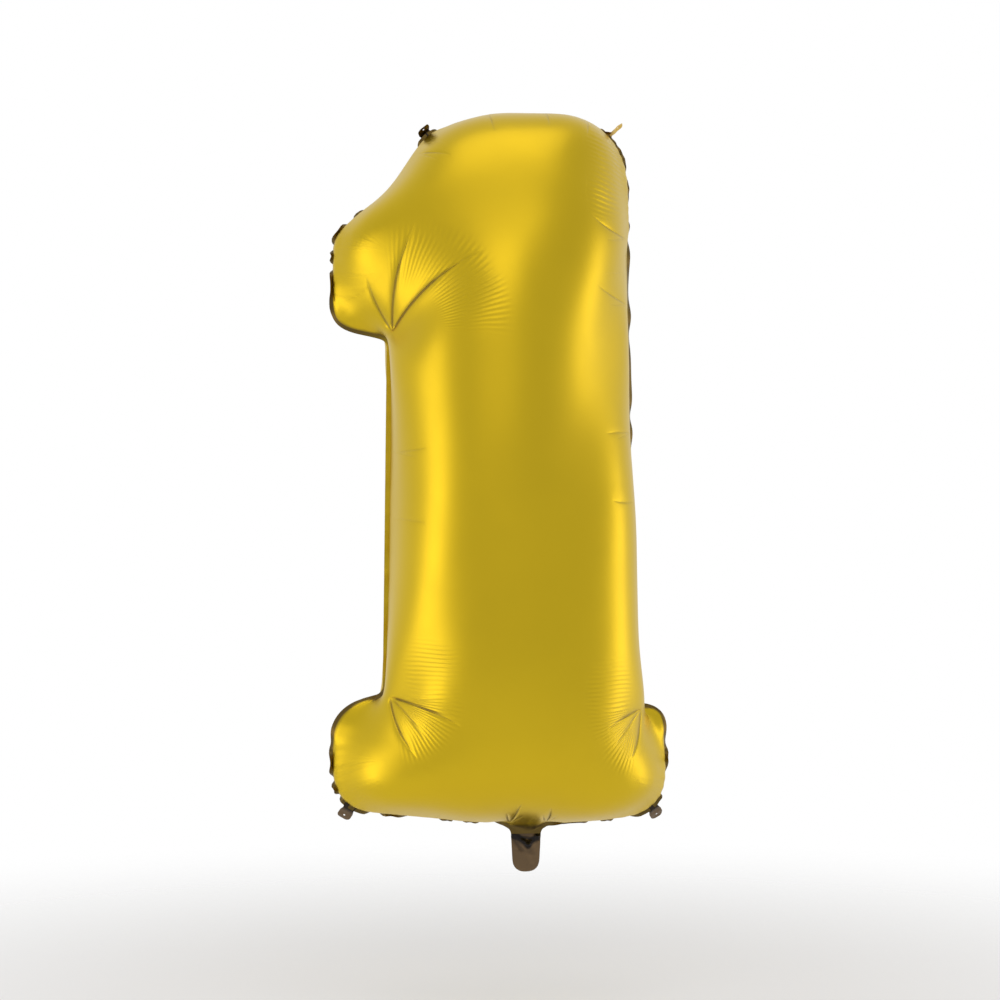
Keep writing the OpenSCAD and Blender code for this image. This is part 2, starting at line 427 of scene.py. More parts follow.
# %% [markdown]
# ## Sheets made in code
# Operators are fine for a primitive, but a net with a shape of its own is quicker to make
# from its points. These helpers make the object, select it and give it its flat map: a UV
# map in metres that keeps each point's place on the flat film.

# %% Sheet helpers
def only(thing):
    """Selects one object and makes it active."""
    bpy.ops.object.select_all(action="DESELECT")
    thing.select_set(True)
    bpy.context.view_layer.objects.active = thing


def sheet_object(name, points, faces):
    """A mesh object from points in millimetres and faces."""
    mesh = bpy.data.meshes.new(name)
    mesh.from_pydata((points * MM).tolist(), [], faces.tolist())
    thing = bpy.data.objects.new(name, mesh)
    bpy.context.collection.objects.link(thing)
    only(thing)
    return thing


def corners_of(mesh):
    """The vertex at each face corner."""
    corner = np.empty(len(mesh.loops), int)
    mesh.loops.foreach_get("vertex_index", corner)
    return corner


def mapped(mesh, name, pairs):
    """Adds a UV map in metres from one pair of millimetres for each vertex."""
    layer = mesh.uv_layers.new(name=name)
    layer.data.foreach_set("uv", (pairs[corners_of(mesh)] * MM).ravel())


def vertex_places(mesh):
    """All vertices as rows of x, y and z."""
    place = np.empty(len(mesh.vertices) * 3)
    mesh.vertices.foreach_get("co", place)
    return place.reshape(-1, 3)


print("sheet helpers ready")

# %% [markdown]
# ## Blow it up
# Cloth with pressure does the rest. The film resists being stretched far more than it
# resists being squashed, because thin film just crumples when squashed. Seam, weld and tail
# are held by a vertex group, and a shape key draws them in over the first frames while the
# gas pushes the films apart. The full round shape comes from this: the swell of the foot,
# the hollow under the flag.

# %% Inflate
FRAMES = 42
DRAWN_BY = 14
PILLOW_REACH = 150


def inflated():
    """The net after the gas has filled it, in millimetres."""
    goal = np.stack([drawn_cut[:, 0], np.zeros(len(cut)), drawn_cut[:, 1]], 1)
    gap = np.minimum(nearest(drawn_cut, full_edge)[0], PILLOW_REACH)
    start = flat_net.copy()
    start[:, 1] = 0.05 * side * np.minimum(nearest(cut, gas_edge)[0], 30)
    net = sheet_object("film_net", start, np.vstack([front_faces, back_faces, weld_faces]))
    mesh = net.data
    net.shape_key_add(name="Basis")
    key = net.shape_key_add(name="drawn in")
    key.data.foreach_set("co", (goal * MM).ravel())
    key.value = 0
    key.keyframe_insert("value", frame=1)
    key.value = 1
    key.keyframe_insert("value", frame=DRAWN_BY)
    net.vertex_groups.new(name="held").add(held.tolist(), 1, "REPLACE")
    filled = np.unique(np.concatenate([front_faces.ravel(), back_faces.ravel()]))
    net.vertex_groups.new(name="gas").add(filled.tolist(), 1, "REPLACE")
    cloth = net.modifiers.new("film", "CLOTH")
    film = cloth.settings
    film.quality = 5
    film.mass = 0.01
    film.bending_model = "ANGULAR"
    film.tension_stiffness = 200
    film.compression_stiffness = 1
    film.shear_stiffness = 100
    film.bending_stiffness = 0.5
    film.air_damping = 10
    film.use_pressure = True
    film.uniform_pressure_force = 50
    film.vertex_group_pressure = "gas"
    film.vertex_group_mass = "held"
    film.pin_stiffness = 50
    film.effector_weights.gravity = 0
    cloth.collision_settings.use_collision = False
    cloth.point_cache.frame_end = FRAMES
    for step in range(1, FRAMES + 1):
        bpy.context.scene.frame_set(step)
    done = net.evaluated_get(bpy.context.evaluated_depsgraph_get())
    place = np.empty(len(cut) * 3)
    done.data.vertices.foreach_get("co", place)
    bpy.data.objects.remove(net, do_unlink=True)
    bpy.data.meshes.remove(mesh)
    bpy.context.scene.frame_set(1)
    return place.reshape(-1, 3) / MM


# the net stays a little flatter than thin film, which has finer folds to give way in
DEPTH_GAIN = 1.06
full_net = inflated()
full_net[:, 1] *= DEPTH_GAIN
print("inflated box, mm:", full_net.min(0).round(1), full_net.max(0).round(1))

# %% [markdown]
# ## Ease the folds
# The net is coarse, so its folds are coarser than the hair-thin ones of real film. They are
# eased by moving each point towards the middle of its neighbours and then a little further
# back, which takes out short waves and keeps the volume. The waist and the feet, where the
# real film has its strongest creases, are eased less. The fine folds are placed later.

# %% Ease the coarse folds
# where folds start on the finished seam, in millimetres
CROOKS = {
    "waist": (-168, 598), "left_foot": (-171, 158), "right_foot": (133, 141),
    "neck_left": (-21, 1), "neck_right": (21, 1),
    "top_left": (-50, 866), "top": (18, 869), "top_right": (71, 861), "shoulder": (-136, 812),
    "right_high": (119, 713), "right_middle": (122, 634), "right_low": (124, 476),
    "right_base": (125, 392), "left_high": (-166, 452), "left_low": (-166, 372),
}
INNER_CORNERS = ("waist", "left_foot", "right_foot")
# share of the easing that is left at an inner corner
CORNER_EASE = 0.35


def eased_net(place, rounds=200, forth=0.55, back_again=-0.57):
    """The net with its short waves taken out. The seam and the weld stay where they are."""
    faces = np.vstack([front_faces, back_faces])
    pairs = np.vstack([faces[:, [0, 1]], faces[:, [1, 2]], faces[:, [2, 0]]])
    pairs = np.unique(np.sort(pairs, axis=1), axis=0)
    count = np.bincount(pairs.ravel(), minlength=len(place))
    count = np.maximum(count, 1)[:, None]
    free = np.abs(side)
    for x, z in [CROOKS[name] for name in INNER_CORNERS]:
        far = np.hypot(place[:, 0] - x, place[:, 2] - z)
        free = free * (CORNER_EASE + (1 - CORNER_EASE) * np.clip((far - 20) / 60, 0, 1))
    for amount in [forth, back_again] * rounds:
        total = np.zeros_like(place)
        np.add.at(total, pairs[:, 0], place[pairs[:, 1]])
        np.add.at(total, pairs[:, 1], place[pairs[:, 0]])
        place = place + amount * free[:, None] * (total / count - place)
    return place


full_net = eased_net(full_net)
print("eased box, mm:", full_net.min(0).round(1), full_net.max(0).round(1))

# %% [markdown]
# ## From net to smooth film
# Front and back become two objects, each with its share of the weld. The triangles are
# joined to quads and subdivided twice, which rounds the net's facets. The seam is an edge
# where the film turns sharply, so it is creased, or the subdivision would round it off.
# The flat cut is kept as the UV map: a point's UV is its place on the flat film in metres.

# %% Make the two films
QUAD_ANGLE = math.radians(60)


def film_object(name, faces):
    """One film as a smooth sheet of quads, with the flat cut as its UV map."""
    used, local = np.unique(faces, return_inverse=True)
    local = local.reshape(faces.shape)
    film = sheet_object(name, full_net[used], local)
    mesh = film.data
    mapped(mesh, "cut", cut[used])
    on_seam = np.isin(used, seam)
    ends = np.empty(len(mesh.edges) * 2, int)
    mesh.edges.foreach_get("vertices", ends)
    ends = ends.reshape(-1, 2)
    order = {int(used_id): k for k, used_id in enumerate(seam)}
    seam_edge = np.zeros(len(ends), bool)
    for i in np.where(on_seam[ends].all(1))[0]:
        step = abs(order[int(used[ends[i, 0]])] - order[int(used[ends[i, 1]])])
        seam_edge[i] = step in (1, len(seam) - 1)
    crease = mesh.attributes.new("crease_edge", "FLOAT", "EDGE")
    crease.data.foreach_set("value", seam_edge.astype(np.float32))
    mesh.edges.foreach_set("use_seam", seam_edge)
    bpy.ops.object.mode_set(mode="EDIT")
    bpy.ops.mesh.select_all(action="SELECT")
    bpy.ops.mesh.tris_convert_to_quads(
        face_threshold=QUAD_ANGLE, shape_threshold=QUAD_ANGLE, seam=True)
    bpy.ops.object.mode_set(mode="OBJECT")
    smooth = film.modifiers.new("smooth", "SUBSURF")
    smooth.levels = 2
    smooth.render_levels = 2
    bpy.ops.object.modifier_apply(modifier=smooth.name)
    print(name, len(mesh.polygons), "faces")
    return film


film_front = film_object("film_front", np.vstack([front_faces, weld_faces]))
film_back = film_object("film_back", np.vstack([back_faces, weld_faces[:, ::-1]]))

# %% [markdown]
# ## Puckers along the seam
# The seam is shorter than the film that meets it, so the edge waves to and fro about every
# 20 mm. A wave of length L takes up a share e of the length when its height is about
# L times the root of e, over pi. The wave is strongest on the weld and dies away within a
# few centimetres on the gas side. Front and back share it, so they stay together.
# Waves are worked out from the flat cut, because there every point knows its distance from
# the seam and along it. Round an inner corner the lines fan out from the corner.

# %% Where each point lies from the seam
# length of a pucker and of a tip of the weld, and how far corners pull the waves round
PUCKER = 20
TIP_PITCH = 31
FAN_REACH = 25
# no puckers this near the middle of the neck, and how far from there they take to grow
NECK_CALM = 26
NECK_GROW = 30


def seam_sight(film):
    """For each vertex: place on the cut, depth inside the seam, way along it, share drawn in."""
    mesh = film.data
    uv = np.empty(len(mesh.loops) * 2)
    mesh.uv_layers["cut"].data.foreach_get("uv", uv)
    place = np.zeros((len(mesh.vertices), 2))
    place[corners_of(mesh)] = uv.reshape(-1, 2) / MM
    gap, run, foot = nearest(place, cut_edge)
    depth = np.where(inside(place, cut_edge), gap, -gap)
    line_turn = np.unwrap(np.arctan2(*outward(cut_edge).T[::-1]))
    stops = run_lengths(cut_edge)[:-1]
    normal = np.interp(run, stops, line_turn)
    ray = place - foot
    ray *= np.sign(depth)[:, None]
    lean = np.arctan2(-ray[:, 1], -ray[:, 0]) - normal
    lean = (lean + math.pi) % (2 * math.pi) - math.pi
    lean[gap < 0.5] = 0
    way = run - FAN_REACH * (normal + lean)
    even_share = softened(plan_drawn, DRAWN_BLUR, EDGE_STEP)[:len(plan_stops)]
    drawn = np.interp(run, plan_stops, even_share)
    stub = np.clip((np.hypot(place[:, 0], place[:, 1]) - NECK_CALM) / NECK_GROW, 0, 1)
    return place, depth, way, drawn * stub


print("puckers round the seam:", round(run_lengths(cut_edge)[-1] / PUCKER))


# %% [markdown]
# ## Folds at the waist and the feet
# At an inner corner the film is held by one point of the seam, and sharp folds run out from
# it like the ribs of a fan, with rows of hair-thin ribs between them. Each fold is a line
# that starts at one bearing from the corner and ends at another. The mesh gets the soft
# valley, and the distance to each line is stored, so that the finish can draw its sharp
# bottom at any closeness. Shorter folds start at the neck, the top and the sides.

# %% Fold lines
# bearing at the corner, bearing at the end, length in mm, depth
FOLDS = {
    "waist": ((127, 117, 72, 0.7), (97, 80, 128, 0.9), (64, 43, 132, 1.0)),
    "left_foot": ((-12, -22, 84, 1.0), (-88, -68, 76, 0.9), (-46, -52, 62, 0.5)),
    "right_foot": ((192, 203, 52, 0.8), (276, 255, 62, 0.9), (226, 228, 55, 0.4)),
    "neck_left": ((88, 80, 30, 0.9), (128, 122, 20, 0.4), (52, 50, 18, 0.3)),
    "neck_right": ((84, 92, 24, 0.8), (128, 122, 16, 0.4), (52, 50, 18, 0.3)),
    "top_left": ((264, 272, 30, 0.5), (244, 246, 18, 0.25)),
    "top": ((272, 268, 26, 0.5), (292, 290, 16, 0.25)),
    "top_right": ((262, 256, 30, 0.5), (286, 284, 16, 0.25)),
    "shoulder": ((2, -10, 34, 0.4), (-28, -30, 22, 0.25)),
    "right_high": ((176, 158, 60, 0.55), (196, 190, 34, 0.35)),
    "right_middle": ((170, 160, 52, 0.45), (190, 186, 30, 0.25)),
    "right_low": ((174, 182, 40, 0.35), (192, 196, 26, 0.25)),
    "right_base": ((182, 176, 36, 0.35),),
    "left_high": ((4, 10, 34, 0.35), (-14, -16, 24, 0.25)),
    "left_low": ((-2, -8, 32, 0.3),),
}
RIB_PITCH = 5.4
# how far a fan of ribs is felt around its corner
FAN_SPAN = 150
# distance at which the ribs have their pitch, lowest and highest bearing
FAN = {"waist": (100, 2, 88), "left_foot": (76, -75, 90), "right_foot": (72, -75, 90)}


def window(value, low_end, high_end, soft):
    """1 between two values, falling to 0 over a soft border."""
    rise = np.clip((value - low_end) / soft + 0.5, 0, 1)
    fall = np.clip((high_end - value) / soft + 0.5, 0, 1)
    both = rise * fall
    return both * both * (3 - 2 * both)


def signed_turn(degrees):
    """The same angle between -180 and 180 degrees."""
    return (degrees + 180) % 360 - 180


def fan_ribs(name, across, up, bearing, radius):
    """Count and height of the ribs round one inner corner. A foot's ribs go on up the stem."""
    x, z = CROOKS[name]
    reach, lowest, highest = FAN[name]
    if name == "right_foot":
        bearing = signed_turn(180 - bearing)
    count = np.radians(bearing) * reach / RIB_PITCH
    around = window(bearing, lowest, highest, 24)
    if name == "waist":
        return count, around * window(radius, 62, 128, 34)
    above = up > z
    count = np.where(above, (up - z) / RIB_PITCH, count)
    inward = (across - x) * (1 if name == "left_foot" else -1)
    beside = window(inward, 20, 72, 26) * window(up - z, -30, 66, 36)
    return count, np.where(above, beside, around * window(radius, 22, 74, 26))


def fold_fields(place):
    """Distances to the folds of the nearest crook, their fades, and the ribs' count and height."""
    across, up = place[:, 0], place[:, 2]
    names = list(CROOKS)
    far = np.stack([np.hypot(across - CROOKS[n][0], up - CROOKS[n][1]) for n in names], 1)
    spans = np.array([FAN_SPAN if n in FAN else max(line[2] for line in FOLDS[n]) for n in names])
    owner = (far / spans).argmin(1)
    gap = np.zeros((len(place), 3))
    fade = np.zeros((len(place), 3))
    ribs = across * 0 + up / RIB_PITCH
    rib_height = np.zeros(len(place))
    for k, name in enumerate(names):
        mine = owner == k
        x, z = CROOKS[name]
        radius = far[mine, k]
        bearing = np.degrees(np.arctan2(up[mine] - z, across[mine] - x))
        for j, (start, end, length, strength) in enumerate(FOLDS[name]):
            line = start + (end - start) * np.clip(radius / length, 0, 1.3)
            turn = signed_turn(bearing - line)
            gap[mine, j] = radius * np.radians(turn)
            ends = np.clip(radius / 8, 0, 1) * np.clip((length - radius) / (0.45 * length), 0, 1)
            fade[mine, j] = strength * ends * (np.abs(turn) < 90)
        if name in FAN:
            ribs[mine], rib_height[mine] = fan_ribs(name, across[mine], up[mine], bearing, radius)
    shoulder = window(across, 66, 116, 22) * window(up, 742, 842, 34)
    rib_height = np.maximum(rib_height, 1.5 * shoulder)
    slant = (up + 0.25 * across) / (RIB_PITCH * 1.1)
    ribs = np.where(shoulder > 0.02, slant, ribs)
    return gap, fade, ribs, rib_height


print("fold lines:", sum(len(lines) for lines in FOLDS.values()))

# %% [markdown]
# ## Where the tabs hang
# Four small tabs leave the weld near the corners. Their places are needed before the weld is
# shaped, because the weld lies flat where a tab starts. Lean is the direction in which the
# tab leaves, twist turns it about that direction, and fold bends it out of the weld's plane.

# %% Tab places, in millimetres and degrees
TAB_PLACES = {
    "tab_top_left": ((-124.5, 0, 841.5), 134, 0, 70),
    "tab_top_right": ((105.5, 0, 844.5), 42, 74, 0),
    "tab_foot_left": ((-218, 0, 19.5), 242, 0, -46),
    "tab_foot_right": ((159.5, 0, 14), 306, 0, -46),
}
print("tabs:", ", ".join(TAB_PLACES))

# %% [markdown]
# ## Wave the edge
# The weld is stiff, so where the seam is drawn in it can't gather finely. It tips to the
# front and to the back by turns, and shows as small scallops, darkened by painted shade. At the top it lies
# back.
# Between the tips the film bulges over the seam line, so the weld is half hidden. What the
# finishes need is kept as attributes of the mesh.

# %% Add the puckers, the folds and the tipped weld
def stored(mesh, name, values):
    """Keeps one number, or three, for each vertex."""
    kind, part = ("FLOAT", "value") if values.ndim == 1 else ("FLOAT_VECTOR", "vector")
    layer = mesh.attributes.new(name, kind, "POINT")
    layer.data.foreach_set(part, values.astype(np.float32).ravel())


# share of the full pucker height that the mesh takes, and the swell and its depth inside
PUCKER_SHARE = 0.42
SWELL = 3.6
SWELL_AT = 9


def waved(film, facing):
    """Adds the puckers and stores what the finishes need."""
    mesh = film.data
    cut_place, depth, way, drawn = seam_sight(film)
    place = vertex_places(mesh) / MM
    flat = place[:, [0, 2]]
    foot_gap, foot_run, foot = nearest(flat, full_edge)
    stops = run_lengths(full_edge)[:-1]
    normals = outward(full_edge)
    out = np.stack([np.interp(foot_run, stops, normals[:, k]) for k in range(2)], 1)
    across, up = place[:, 0].copy(), place[:, 2].copy()
    beat = math.pi * way / TIP_PITCH + 1.3 * np.sin(way / 41) + 1.1 * np.sin(way / 17 + 2)
    uneven = 0.75 + 0.25 * np.sin(way / 29 + 1) * np.sin(way / 53)
    left_stem = eased(-across, 140, 155) * window(up, 172, 588, 24)
    slope = window(up - 0.82 * across, 872, 1100, 20) * eased(up, 735, 760)
    crown = eased(up, 800, 836) * eased(-np.abs(across + 10), -125, -100)
    on_top = np.maximum(slope, crown)

    # puckers: the edge waves to and fro
    height = PUCKER * np.sqrt(drawn) / math.pi * PUCKER_SHARE * uneven
    height = height * (1 - 0.75 * left_stem) * (1 - 0.5 * on_top)
    gas = depth > 0
    reach = np.where(gas, np.exp(-(np.abs(depth) / 20) ** 1.3), 1)
    place[:, 1] += height * np.sin(2 * math.pi * way / PUCKER + 1.2 * np.sin(way / 37)) * reach

    # swell: the film bulges over the seam line
    swell = np.clip(depth / SWELL_AT, 0, None)
    swell = swell * np.exp(1 - swell) * SWELL * np.clip(drawn / 0.12, 0, 1)
    place[:, [0, 2]] += out * (swell * gas)[:, None]

    # tips: the weld turns to the front and to the back
    tip = (0.5 + 1.2 * np.sin(beat) * np.clip(drawn / 0.1, 0, 1)) * (1 - 0.85 * left_stem)
    tip = tip * (1 - on_top) + 1.35 * on_top
    swelled_across, swelled_up = place[:, 0], place[:, 2]
    right_stem = eased(swelled_across, 100, 125) * window(swelled_up, 170, 820, 60)
    tip = tip * (1 - right_stem) + (0.85 + 0.3 * np.sin(beat)) * right_stem
    width = np.where(gas | (cut_place[:, 1] < -9), 0, -depth)
    near_neck = np.clip((np.hypot(cut_place[:, 0], cut_place[:, 1]) - 21) / 8, 0, 1)
    tip = tip * near_neck
    for root, _, _, _ in TAB_PLACES.values():
        tip *= eased(np.hypot(flat[:, 0] - root[0], flat[:, 1] - root[2]), 10, 20)
    place[:, [0, 2]] -= out * (width * (1 - np.cos(tip)))[:, None]
    place[:, 1] += width * np.sin(tip)

    # folds: soft valleys, and a little room at the neck for the valve
    gap, fade, ribs, rib_height = fold_fields(place)
    valley = (fade * np.exp(-(gap / 4.5) ** 2)).sum(1) * np.clip(depth / 6, 0, 1) * 1.2
    place[:, 1] -= facing * valley
    neck_layer = np.clip(1.5 - np.abs(cut_place[:, 0]) / 20, 0, 1) * (cut_place[:, 1] < 25)
    place[:, 1] += facing * (0.4 + 0.6 * neck_layer)
    mesh.vertices.foreach_set("co", (place * MM).ravel())

    # for the finishes, with a painted shade mask: the weld is painted dark brown for the dark
    # things it mirrors, less on the left stem, and the bottom of the neck is painted dark as shade
    mapped(mesh, "seam_way", np.stack([way, depth], 1))
    welded = np.clip(0.5 - depth / 1.5, 0, 1)
    neck_painted_shade = 0.8 * eased(-place[:, 2], -1, 4) * eased(-np.abs(cut_place[:, 0]), -24, -19)
    stored(mesh, "painted_shade_mask", np.maximum(0.9 * welded * (1 - 0.75 * left_stem), neck_painted_shade))
    stored(mesh, "drawn", drawn)
    stored(mesh, "fold_gap", gap * MM)
    stored(mesh, "fold_fade", fade * np.clip(depth / 5, 0, 1)[:, None])
    stored(mesh, "ribs", ribs)
    stored(mesh, "rib_height", rib_height * np.clip(depth / 8, 0, 1))
    mesh.update()
    print(film.name, "pucker height, mm:", height.max().round(2))


waved(film_front, -1)
waved(film_back, 1)

# %% [markdown]
# ## The tail and its crumple
# Below the neck the same two films hang down as a tail, 60 mm long, with the gas valve
# between them. On the real balloon the tail bends and crumples where it leaves the full
# body. The tail moves by itself, so it is cut off as its own piece at a straight line just
# below the neck. Bisecting a copy leaves both pieces with exactly the same edge.

# %% Cut the tail off
TAIL_CUT = -0.0135


def cut_level(piece, height, keep_below):
    """Cuts a mesh at a level and keeps one side."""
    only(piece)
    bpy.ops.object.mode_set(mode="EDIT")
    bpy.ops.mesh.select_all(action="SELECT")
    bpy.ops.mesh.bisect(plane_co=(0, 0, height), plane_no=(0, 0, 1),
                        clear_outer=keep_below, clear_inner=not keep_below)
    bpy.ops.object.mode_set(mode="OBJECT")


def tail_of(film, name):
    """A copy of the film below the neck. The film keeps the rest."""
    tail = film.copy()
    tail.data = film.data.copy()
    tail.name = name
    tail.data.name = name
    bpy.context.collection.objects.link(tail)
    cut_level(tail, TAIL_CUT, True)
    cut_level(film, TAIL_CUT, False)
    print(name, len(tail.data.polygons), "faces")
    return tail


tail_front = tail_of(film_front, "tail_film_front")
tail_back = tail_of(film_back, "tail_film_back")

# %% [markdown]
# ## Crumple the tail
# The crumple is a few sharp folds that run down from both corners of the neck and meet in a
# V. A fold in film is a straight ridge: its height falls off evenly to both sides.

# %% Fold the tail
# start, end, rise and half width of each fold, in millimetres
V_FOLDS = [
    ((-17, -12), (2, -28), 2.4, 5.5), ((2, -28), (15, -15), 2.4, 5.5),
    ((-18, -17), (16, -21), -1.6, 4.5), ((-15, -20), (-4, -35), -1.1, 4.5),
    ((3, -28), (8, -46), 0.9, 6.0), ((-10, -34), (9, -39), 0.6, 5.0),
]


def fold_parts(across, up):
    """Each fold's height and closeness at a point of the tail."""
    for (x0, z0), (x1, z1), rise, width in V_FOLDS:
        run = np.array([x1 - x0, z1 - z0], float)
        share = np.clip(((across - x0) * run[0] + (up - z0) * run[1]) / (run @ run), 0, 1)
        gap = np.hypot(across - x0 - share * run[0], up - z0 - share * run[1])
        close = np.clip(1 - gap / width, 0, 1)
        yield rise, close * close * (3 - 2 * close)


def fold_height(across, up):
    """Height out of the plane of the tail's folds, in millimetres."""
    height = -sum(rise * close for rise, close in fold_parts(across, up))
    height = height + 0.5 * np.sin(up / 7.0 + across / 11.0)
    return height * np.clip((TAIL_CUT / MM - up) / 3.0, 0, 1)


for piece in (tail_front, tail_back):
    place = vertex_places(piece.data)
    place[:, 1] += fold_height(place[:, 0] / MM, place[:, 2] / MM) * MM
    piece.data.vertices.foreach_set("co", place.ravel())
    across, up = place[:, 0] / MM, place[:, 2] / MM
    # painted shade: the crumple folds and the top of the tail just under the neck are painted dark through
    # the painted shade mask
    crumple_shade = sum(0.55 * abs(rise) * close for rise, close in fold_parts(across, up))
    crumple_shade = np.clip(crumple_shade * eased(up, -44, -24) + 0.5 * eased(up, -20, -12), 0, 1)
    piece.data.attributes["painted_shade_mask"].data.foreach_set("value", crumple_shade.astype(np.float32))
    piece.data.update()
print("tail folds:", len(V_FOLDS))

# %% [markdown]
# ## Wall thickness
# Each film so far is a skin without thickness. Solidify gives it a wall, grown inwards so
# that the outer face stays where it is, and closes the rim. The real film is thinner still,
# but 0.3 mm keeps the two welded layers clear of each other. A flat strip, which has no
# inside, gets half of its wall on each side, and its normals are then turned outwards.

# %% Give the films their wall
FILM_WALL = 0.3 * MM


def walled(piece, wall, offset, smooth_below):
    """Gives a sheet its wall. Edges sharper than smooth_below degrees stay sharp."""
    only(piece)
    solid = piece.modifiers.new("wall", "SOLIDIFY")
    solid.thickness = wall
    solid.offset = offset
    bpy.ops.object.modifier_apply(modifier=solid.name)
    if offset == 0:
        bpy.ops.object.mode_set(mode="EDIT")
        bpy.ops.mesh.select_all(action="SELECT")
        bpy.ops.mesh.normals_make_consistent(inside=False)
        bpy.ops.object.mode_set(mode="OBJECT")
    bpy.ops.object.shade_smooth_by_angle(angle=math.radians(smooth_below))
    print(piece.name, "triangles:", sum(len(face.vertices) - 2 for face in piece.data.polygons))


for piece in (film_front, film_back, tail_front, tail_back):
    walled(piece, FILM_WALL, -1, 55)

# %% [markdown]
# ## The hanging tabs
# Four small flaps stand off the weld near the corners, for a string. Each is part of the
# film: it leaves the weld flat, turns at its root, and ends in a rounded flap with a small
# hole. It is drawn flat, filled with even triangles, and then each point is carried along
# the flap's own path, because a path that turns and twists is easy to follow in code.

# %% Tab helper
# the flap, the strip between weld and flap, the root inside the weld, and the hole
TAB_SIZE = 18
TAB_GAP = 1.5
TAB_ROOT = -6.5
TAB_CORNER = 7
TAB_HOLE = 1.25
TAB_HOLE_AT = 12.5


def tab_frame(lean, twist, fold):
    """Directions of a flap: along it, across it on its hinge line, and square to it."""
    a, t, f = (math.radians(v) for v in (lean, twist, fold))
    out = np.array([math.cos(a), 0, math.sin(a)])
    normal = np.array([-math.sin(a) * math.sin(t), math.cos(t), math.cos(a) * math.sin(t)])
    hinge = np.array([-math.sin(a) * math.cos(t), -math.sin(t), math.cos(a) * math.cos(t)])
    along = math.cos(f) * out - math.sin(f) * normal
    return along, hinge, math.sin(f) * out + math.cos(f) * normal


def tab_outline():
    """The flat flap from inside the weld to its end, as a closed line with rounded corners."""
    half = TAB_SIZE / 2
    tip = TAB_GAP + TAB_SIZE
    corners = [(TAB_ROOT, half, 2), (tip, half, TAB_CORNER), (tip, -half, TAB_CORNER), (TAB_ROOT, -half, 2)]
    return rounded(corners, 8)


def tab_net():
    """Flat points and faces of a flap with its hole."""
    edge = even(tab_outline(), 1.0)
    turns = np.linspace(0, 2 * math.pi, 25)[:-1]
    circle = np.stack([np.cos(turns), np.sin(turns)], 1)
    hole_middle = np.array([TAB_HOLE_AT, 0])
    hole = hole_middle + TAB_HOLE * circle
    ring = hole_middle + (TAB_HOLE + 0.45) * circle
    field = honeycomb((TAB_ROOT, -TAB_SIZE / 2), (TAB_GAP + TAB_SIZE, TAB_SIZE / 2), 1.0)
    clear = inside(field, edge) & (nearest(field, edge)[0] > 0.5)
    clear &= np.linalg.norm(field - hole_middle, axis=1) > TAB_HOLE + 0.9
    points = np.vstack([edge, hole, ring, field[clear]])
    first = len(edge)
    lines = [(i, (i + 1) % first) for i in range(first)]
    lines += [(first + i, first + (i + 1) % len(hole)) for i in range(len(hole))]
    found = delaunay_2d_cdt([tuple(p) for p in points], lines, [list(range(first))], 1, 1e-5)
    flat = np.array([tuple(p) for p in found[0]])
    faces = np.array([list(f)[:3] for f in found[2]])
    centre = flat[faces].mean(1)
    keep = np.linalg.norm(centre - hole_middle, axis=1) > TAB_HOLE * 0.99
    return flat, faces[keep]


tab_flat, tab_faces = tab_net()
print("tab net:", len(tab_flat), "points,", len(tab_faces), "faces")

# %% [markdown]
# ## Bend the tabs
# The flap's path starts in the plane of the weld. Between the weld and the hinge line it
# turns into the flap's own direction, and there it is drawn together a little, with a few
# small pleats. After the hinge line it is a nearly flat flap with a slight curl.

# %% Make the four tabs
TAB_WALL = 0.35 * MM


def tab_piece(name, root, lean, twist, fold, seed):
    """One flap, with the point it starts from and its directions before and after the hinge."""
    along, hinge, normal = tab_frame(lean, twist, fold)
    out, flat_hinge, flat_normal = tab_frame(lean, 0, 0)
    reach, across = tab_flat[:, 0], tab_flat[:, 1]
    turn = eased(reach, TAB_ROOT + 1, TAB_GAP + 0.5)
    pinch = 0.94 - 0.16 * np.exp(-((reach + 0.5) / 4) ** 2)
    pleat = 2.2 * (0.94 - pinch) * np.sin(across * 1.1 + seed)
    cupped = 0.35 * np.sin(across * 0.35 + seed) * eased(reach, 1, 12)
    curl = cupped + 0.3 * np.sin(reach * 0.5 + 2 * seed) * eased(reach, 2, 8)
    place = np.empty((len(tab_flat), 3))
    start = np.array(root, float)
    for i in range(len(tab_flat)):
        wide = flat_hinge * (1 - turn[i]) + hinge * turn[i]
        wide /= np.linalg.norm(wide)
        up = flat_normal * (1 - turn[i]) + normal * turn[i]
        up /= np.linalg.norm(up)
        run = out * min(reach[i], 0) + along * max(reach[i], 0)
        place[i] = start + run + wide * across[i] * pinch[i] + up * (pleat[i] + curl[i])
    tab = sheet_object(name, place, tab_faces)
    mapped(tab.data, "cut", tab_flat)
    # painted shade: the tab's root inside the weld is painted dark like the weld
    stored(tab.data, "painted_shade_mask", 0.9 * eased(-reach, -7, 1))
    walled(tab, TAB_WALL, 0, 50)
    return tab, start, out, along


tabs = {}
for seed, (panel, (root, lean, twist, fold)) in enumerate(TAB_PLACES.items()):
    tabs[panel] = tab_piece("flap" + panel[3:], root, lean, twist, fold, seed)

# %% [markdown]
# ## The valve
# A tube of two clear films runs from the tail into the gas space. The gas presses it shut,
# so it is flat. It is only seen at the mouth of the tail or where the tail is bent open, but
# a part library wants it there. Each film is a subdivided strip with a faint wave.

# %% Make the valve films
VALVE_WIDE = 26
VALVE_LOW = -54
VALVE_HIGH = 70
VALVE_WALL = 0.12 * MM


